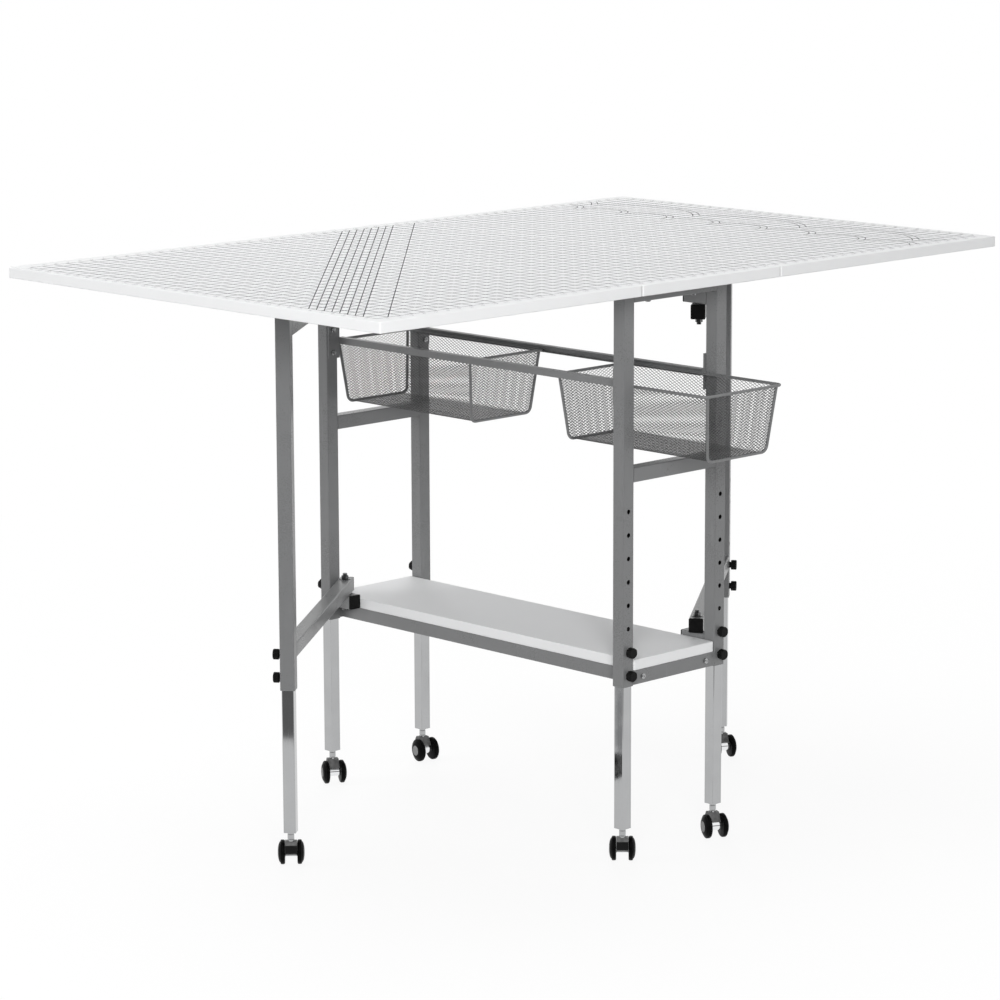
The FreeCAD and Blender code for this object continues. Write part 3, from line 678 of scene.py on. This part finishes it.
def yokes():
    """Each caster's yoke: a folded body between the wheels, a barrel round the axle, collar and stem."""
    half = 10.3 * MM
    side_view = [(6.0, 44.0), (18.6, 21.5), (11.0, 13.0), (-10.0, 23.0), (-10.0, 38.0), (-6.0, 44.0)]
    painted_highlight_from_x, painted_highlight_from_z = -9.6 * MM, 37.6 * MM
    body = bmesh.new()
    face = body.faces.new([body.verts.new((x * MM, -half, z * MM)) for x, z in side_view])
    grown = bmesh.ops.extrude_face_region(body, geom=[face])["geom"]
    moved = [part for part in grown if isinstance(part, bmesh.types.BMVert)]
    bmesh.ops.translate(body, verts=moved, vec=(0, 2 * half, 0))
    bmesh.ops.recalc_face_normals(body, faces=body.faces)
    bmesh.ops.bevel(body, geom=body.edges[:], offset=0.9 * MM, segments=3, profile=0.5, affect="EDGES")
    barrel = turned([
        (-19.4, 0.0), (-19.4, 3.0), (-10.3, 3.0), (-10.3, 7.4), (-9.7, 8.0), (9.7, 8.0), (10.3, 7.4),
        (10.3, 3.0), (19.4, 3.0), (19.4, 0.0),
    ], segments=40)
    bmesh.ops.translate(barrel, verts=barrel.verts, vec=AXLE)
    collar = turned([
        (43.0, 0.0), (43.0, 6.0), (46.2, 6.0), (46.8, 5.2), (47.4, 5.2), (48.0, 5.8), (55.0, 5.8),
        (55.6, 5.2), (56.2, 5.2), (56.8, 6.0), (58.8, 6.0), (59.2, 5.6), (59.2, 4.0), (75.5, 4.0),
        (75.5, 0.0),
    ], segments=32)
    rotated(collar, math.pi / 2, "X")

    # Painted highlight: marks the body's top and trailing faces, which the finish paints grey.
    def hood_mark(point):
        return HOOD_HIGHLIGHT_MARK if point.x > painted_highlight_from_x or point.z > painted_highlight_from_z else 0.0

    made = [
        marked(meshed(body, "body"), "plate", hood_mark),
        marked(meshed(barrel, "barrel"), "plate", lambda point: BARREL_MARK),
        marked(meshed(collar, "collar"), "plate", lambda point: COLLAR_MARK),
    ]
    yoke = gathered(made, "yoke")
    shaded(yoke)
    on_casters(
        yoke, Matrix(), ending="_plated_yoke", body="_caster",
        finish="caster_plastic", replaced="_caster_hood",
    )


# Figures of the grid


def digit_meshes():
    """The ten digits as flat meshes, each about its own middle."""
    digits = {}
    for digit in "0123456789":
        curve = bpy.data.curves.new("digit", "FONT")
        curve.body = digit
        curve.size = 10.5 * MM
        curve.resolution_u = 3
        curve.align_x = "CENTER"
        curve.align_y = "CENTER"
        digits[digit] = settled(linked("digit", curve))
    return digits


def figures():
    """Plain numbers round the grid that read from each edge, as ink just above the boards."""
    digits = digit_meshes()
    forms = {body: bmesh.new() for body in ("base", "left_leaf_body", "right_leaf_body")}
    inset, spacing, lift = 11.0 * MM, 6.2 * MM, 0.08 * MM
    places = []
    for i in range(COLUMNS):
        x = (i - (COLUMNS - 1) / 2) * INCH
        places.append((i + 1, x, MID_Y - GRID_Y - inset, 0))
        places.append((i + 1, x, MID_Y + GRID_Y + inset, 180))
    for i in range(ROWS):
        y = MID_Y + (i - (ROWS - 1) / 2) * INCH
        places.append((i + 1, -GRID_X - inset, y, 270))
        places.append((i + 1, GRID_X + inset, y, 90))
    for number, x, y, turn in places:
        body = "base" if abs(x) < panel_high.x else "left_leaf_body" if x < 0 else "right_leaf_body"
        stand = Matrix.Translation((x, y, TOP + lift)) @ Matrix.Rotation(math.radians(turn), 4, "Z")
        text = str(number)
        for i, digit in enumerate(text):
            shift = (i - (len(text) - 1) / 2) * spacing
            mesh = digits[digit].copy()
            mesh.transform(stand @ Matrix.Translation((shift, 0, 0)))
            forms[body].from_mesh(mesh)
            bpy.data.meshes.remove(mesh)
    for body, form in forms.items():
        for face in form.faces:
            if face.normal.z < 0:
                face.normal_flip()
        piece(meshed(form, body + "_figures"), body, "ink")


# Screws: pan heads with a cross recess over the plain shanks


def islands(node):
    """The separate solids of a node, as lists of points."""
    form = bmesh.new()
    form.from_mesh(nodes[node].data)
    bmesh.ops.remove_doubles(form, verts=form.verts, dist=0.001 * MM)
    waiting = set(form.verts)
    found = []
    while waiting:
        reached = [waiting.pop()]
        for vert in reached:
            for edge in vert.link_edges:
                other = edge.other_vert(vert)
                if other in waiting:
                    waiting.remove(other)
                    reached.append(other)
        found.append([vert.co.copy() for vert in reached])
    form.free()
    return found


def head_seats(node):
    """The end of each screw's head, and the way that it faces."""
    slack, flat = 0.1 * MM, 0.01 * MM
    seats = []
    for points in islands(node):
        low = Vector([min(p[i] for p in points) for i in range(3)])
        high = Vector([max(p[i] for p in points) for i in range(3)])
        centre = (low + high) / 2
        for axis in range(3):
            others = [i for i in range(3) if i != axis]
            if abs((high - low)[others[0]] - (high - low)[others[1]]) > slack:
                continue
            for sign in (-1, 1):
                end = (high if sign > 0 else low)[axis]
                ring = [p for p in points if abs(p[axis] - end) < flat]
                reach = max(math.dist([p[i] for i in others], [centre[i] for i in others]) for p in ring)
                if reach > (high - low)[others[0]] / 2 - slack:
                    spot = centre.copy()
                    spot[axis] = end
                    facing = Vector((0, 0, 0))
                    facing[axis] = sign
                    seats.append((spot, facing))
    return seats


def pan_head():
    """A domed head with a cross recess, that stands up from the origin."""
    form = bmesh.new()
    segments = 24
    turns = [2 * math.pi * i / segments for i in range(segments)]

    def ring(radii, height):
        """A loop of points, with a radius at each turn."""
        return [
            form.verts.new((radius * math.cos(turn) * MM, radius * math.sin(turn) * MM, height * MM))
            for radius, turn in zip(radii, turns)
        ]

    dome = [(4.85, -2.9), (4.95, -0.4), (4.6, 0.15), (3.7, 0.55), (2.4, 0.8)]
    loops = [ring([radius] * segments, height) for radius, height in dome]
    # The recess: a cross inside the innermost ring, and a smaller one on the floor of the pit
    cross = [0.75 + 1.5 * abs(math.cos(2 * turn)) ** 6 for turn in turns]
    taper = 0.72
    loops.append(ring(cross, 0.85))
    loops.append(ring([radius * taper for radius in cross], -0.9))
    for lower, upper in zip(loops, loops[1:]):
        for i in range(segments):
            after = (i + 1) % segments
            form.faces.new((lower[i], lower[after], upper[after], upper[i]))
    form.faces.new(loops[-1])
    form.faces.new(list(reversed(loops[0])))
    bmesh.ops.recalc_face_normals(form, faces=form.faces)
    return meshed(form, "pan_head")


def placing_recipe():
    """Stands a shape on every point, along the point's own direction."""
    recipe = Recipe("placed_shapes")
    shape = recipe.input("Shape", "Object")
    material = recipe.input("Material", "Material")
    points = Value(recipe, recipe.group_input.outputs["Geometry"])
    vector = {"data_type": "FLOAT_VECTOR"}
    facing = recipe.node("GeometryNodeInputNamedAttribute", vector, {"Name": "facing"})
    turn = recipe.node("FunctionNodeAlignRotationToVector", {"axis": "Z"}, {"Vector": facing})
    instance = recipe.node("GeometryNodeObjectInfo", None, {"Object": shape}, "Geometry")
    sockets = {"Points": points, "Instance": instance, "Rotation": turn}
    recipe.end(recipe.node("GeometryNodeInstanceOnPoints", None, sockets), material)
    return recipe


def placed(recipe, name, shape, seats, body, slot):
    """One shape on many seats, each a spot and the way that it faces, as one piece."""
    points = bpy.data.meshes.new("seats")
    points.from_pydata([spot for spot, way in seats], [], [])
    facing = points.attributes.new("facing", "FLOAT_VECTOR", "POINT")
    facing.data.foreach_set("vector", [part for spot, way in seats for part in way])
    holder = linked("shape", shape)
    mesh = recipe.make(points, {"Shape": holder, "Material": finishes[slot]})
    bpy.data.objects.remove(holder)
    mesh.name = name
    shaded(mesh)
    piece(mesh, body, slot)


# Welds: fillets of small overlapping ripples, above and below each tube that meets a leg


def ripple():
    """One flat drop of weld."""
    outline = [(-1.0, 0.0), (-0.75, 1.1), (0.0, 1.6), (0.75, 1.1), (1.0, 0.0)]
    return meshed(turned(outline, segments=8), "ripple")


def seam(middle, along, facing, length):
    """Seats of ripples along a straight seam."""
    step = 1.7 * MM
    count = int(length / step)
    return [(middle + along * ((i - (count - 1) / 2) * step), facing) for i in range(count)]


def weld_seams():
    """Seams of the bars between the base legs, and of the arms of each gate, by body."""
    run = TUBE - 5 * MM
    under_top = TOP - 25 * MM
    along_y, up = Vector((0, 1, 0)), Vector((0, 0, 1))
    found = {"base": [], "left_gate": [], "right_gate": []}
    for bar in ("near_top_bar", "near_mid_bar", "far_top_bar", "far_mid_bar"):
        low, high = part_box(bar)
        middle_y = (low.y + high.y) / 2
        for x, inward in ((low.x, 1), (high.x, -1)):
            for z, way in ((low.z, -1), (high.z, 1)):
                facing = Vector((inward, 0, way)).normalized()
                if z < under_top:
                    found["base"] += seam(Vector((x, middle_y, z)), along_y, facing, run)
    for side in ("left", "right"):
        pivot = Vector(joints[side + "_gate_swing"]["pos_m"])
        foot = Vector(joints[side + "_gate_swivel"]["pos_m"])
        arm = Vector((foot.x - pivot.x, foot.y - pivot.y, 0))
        reach = arm.length - TUBE / 2
        arm.normalize()
        for name in ("upper", "lower"):
            low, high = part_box(side + "_gate_" + name + "_arm")
            for z, way in ((low.z, -1), (high.z, 1)):
                middle = Vector((pivot.x, pivot.y, z)) + arm * reach
                found[side + "_gate"] += seam(middle, arm.cross(up), (up * way - arm).normalized(), run)
    return found


def fixings():
    """The screw heads and the welds."""
    recipe = placing_recipe()
    placed(recipe, "cross_recess_heads", pan_head(), head_seats("frame_screws"), "base", "zinc_fasteners")
    for body, seats in weld_seams().items():
        placed(recipe, body + "_welds", ripple(), seats, body, "painted_steel")


basket_meshes()
wheels()
yokes()
figures()
fixings()


# Camera, light and floor

# The light that the room and the floor give, and the end of the white sheet with the dim room beyond it
AMBIENT = 0.15
FLOOR_BOUNCE = 0.4
SHEET_END = 1.15
DIM = 0.86


def camera():
    """The photographed view: from the left and near side, a little above the top."""
    data = bpy.data.cameras.new("camera")
    data.sensor_width = 36.0
    data.lens = 135.809
    data.clip_end = 200.0
    spot = (-4.570905, -4.640657 + MID_Y, 1.822224)
    yaw, pitch, roll = math.radians(45.69237), math.radians(-10.96626), math.radians(-0.20070)
    ahead = Vector((math.cos(pitch) * math.cos(yaw), math.cos(pitch) * math.sin(yaw), math.sin(pitch)))
    right = Vector((math.sin(yaw), -math.cos(yaw), 0.0))
    up = right.cross(ahead)
    right, up = (
        math.cos(roll) * right + math.sin(roll) * up,
        math.cos(roll) * up - math.sin(roll) * right,
    )
    turn = Matrix((right, up, -ahead)).transposed().to_4x4()
    made = linked("camera", data)
    made.matrix_world = Matrix.Translation(spot) @ turn
    scene.camera = made


def lamp(name, spot, target, size, power):
    """A square soft lamp that throws no glare."""
    data = bpy.data.lights.new(name, "AREA")
    data.shape = "SQUARE"
    data.size = size
    data.energy = power
    made = linked(name, data)
    made.visible_glossy = False
    way = Vector(target) - Vector(spot)
    made.matrix_world = Matrix.Translation(spot) @ way.to_track_quat("-Z", "Y").to_matrix().to_4x4()


def lamps():
    """Soft light, most of it from the viewer's side and from above."""
    table, top = (0, 0, 0.5), (0, 0, 1.0)
    lamp("front", (-4.1, -4.25, 2.3), table, size=2.4, power=296.0)
    lamp("left", (-3.4, 2.4, 1.5), table, size=2.0, power=40.0)
    lamp("side", (3.4, -4.6, 1.8), table, size=2.4, power=44.0)
    lamp("overhead", (-0.2, 1.0, 4.6), top, size=3.4, power=106.0)
    lamp("back", (3.4, 3.6, 2.2), table, size=2.4, power=107.0)


def held(value):
    """A value kept between 0 and 1."""
    return (value | 0.0) & 1.0


def near_left(x, y):
    """How far a spot or a direction lies to the near left."""
    return (x + y) * -math.sqrt(0.5)


def ray_kinds(graph):
    """1 for rays that show the background itself, in view or in a reflection, and 1 for reflections."""
    path = graph.node("ShaderNodeLightPath").socket.node.outputs
    names = ("Is Camera Ray", "Is Glossy Ray", "Is Transmission Ray")
    camera_ray, glossy, through = (Value(graph, path[name]) for name in names)
    return camera_ray | glossy | through, glossy


def room():
    """A white room. Mirrors show its low near left side dim."""
    world = bpy.data.worlds.new("studio")
    world.use_nodes = True
    scene.world = world
    graph = Graph(world.node_tree)
    graph.tree.nodes.clear()
    direct, glossy = ray_kinds(graph)
    x, y, z = graph.split(graph.node("ShaderNodeTexCoord", None, None, "Generated"))
    top_of_dim, edge_of_dim = 0.42, 0.55
    low = held((top_of_dim - z) * 8.0)
    dark = held((near_left(x, y) - edge_of_dim) * 4.0) * low * glossy
    strength = (direct * (1 - AMBIENT) + AMBIENT) * (1 - dark * DIM)
    light = graph.node("ShaderNodeBackground", None, {"Color": (1, 1, 1, 1), "Strength": strength})
    graph.node("ShaderNodeOutputWorld", None, {"Surface": light})


def pale_floor():
    """A white sheet on the floor, with a soft shadow close to the table. Mirrors show it dim where it
    ends at the near left."""
    mesh = bpy.data.meshes.new("studio_floor")
    reach = 45.0
    corners = [(-reach, -reach, 0), (reach, -reach, 0), (reach, reach, 0), (-reach, reach, 0)]
    mesh.from_pydata(corners, [], [(0, 1, 2, 3)])
    floor = linked("studio_floor", mesh)
    material = bpy.data.materials.new("pale_floor")
    material.use_nodes = True
    graph = Graph(material.node_tree)
    graph.tree.nodes.clear()
    direct, glossy = ray_kinds(graph)
    pale = graph.mixed(direct, grey(FLOOR_BOUNCE), grey(0.95))
    matt = graph.node("ShaderNodeBsdfDiffuse", None, {"Color": pale})
    x, y = graph.split(graph.node("ShaderNodeTexCoord", None, None, "Object"))[:2]
    soft_edge = 0.02
    bare = held((near_left(x, y) - SHEET_END) / soft_edge) * glossy
    glow = graph.node("ShaderNodeEmission", None, {"Color": (1, 1, 1, 1), "Strength": 1 - bare * DIM})
    shadow_reach, shadow_share = 3.0, 0.12
    close = 1 - ((x * x + y * y).root() / shadow_reach & 1.0)
    share = direct * (1 - shadow_share * close)
    surface = graph.node("ShaderNodeMixShader", None, {0: share, 1: matt, 2: glow})
    graph.node("ShaderNodeOutputMaterial", None, {"Surface": surface})
    mesh.materials.append(material)


camera()
room()
lamps()
pale_floor()
scene.view_settings.view_transform = "Standard"
